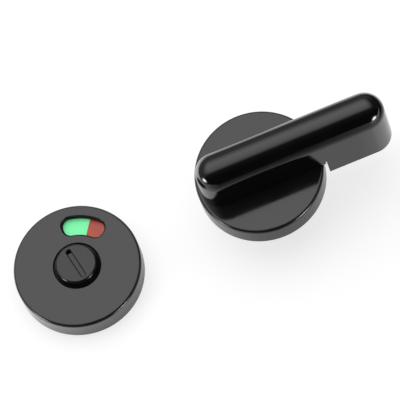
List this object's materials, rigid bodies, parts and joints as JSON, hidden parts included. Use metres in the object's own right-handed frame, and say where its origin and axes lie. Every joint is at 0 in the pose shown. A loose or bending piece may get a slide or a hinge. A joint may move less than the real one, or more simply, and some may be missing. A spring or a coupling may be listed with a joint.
{
  "type": "partition door lock",
  "caption": "Two-part indicator lock for a partition door: round outer cover with red and green window and coin-slot release, and round inner cover with a long turning lever whose nose is the bolt.",
  "frame": {"origin": "middle of the indicator half's back face, on its dial's axis", "axes": "+Z out of the indicator half's front, +X towards the lever half and along its lever, +Y completes the frame"},
  "size_m": [0.1943, 0.0635, 0.0597],
  "materials": {
    "black_plastic": "glossy moulded",
    "clear_plastic": "clear",
    "grey_plastic": "moulded",
    "brass": "turned",
    "cast_zinc": "die cast",
    "green_foil": "smooth",
    "red_foil": "smooth",
    "spring_steel": "rolled",
    "plated_steel": "zinc plated"
  },
  "bodies": {
    "case": {"indicator_cover": "black_plastic", "window_lens": "clear_plastic", "indicator_base": "grey_plastic", "threaded_inserts": "brass", "dial_spring": "spring_steel", "lever_cover": "black_plastic", "lever_base": "grey_plastic", "clamp_screws": "plated_steel", "click_springs": "spring_steel", "hub_spring": "spring_steel"},
    "dial": {"indicator_dial": "grey_plastic", "spindle_socket": "cast_zinc", "green_field": "green_foil", "red_field": "red_foil", "release_button": "black_plastic", "dial_clip": "spring_steel"},
    "lever": {"lever": "black_plastic", "drive_hub": "cast_zinc", "spindle": "plated_steel", "spindle_pin": "spring_steel", "lever_screw": "plated_steel", "hub_clip": "spring_steel"}
  },
  "joints": [
    {"name": "dial_turn", "type": "hinge", "parent": "case", "child": "dial", "pos_m": [0, 0, 0], "axis": [0, 0, 1], "range_deg": [-40, 50]},
    {"name": "lever_turn", "type": "hinge", "parent": "case", "child": "lever", "pos_m": [0.0971, 0.0015, 0.02], "axis": [0, 0, 1], "range_deg": [0, 90]}
  ]
}
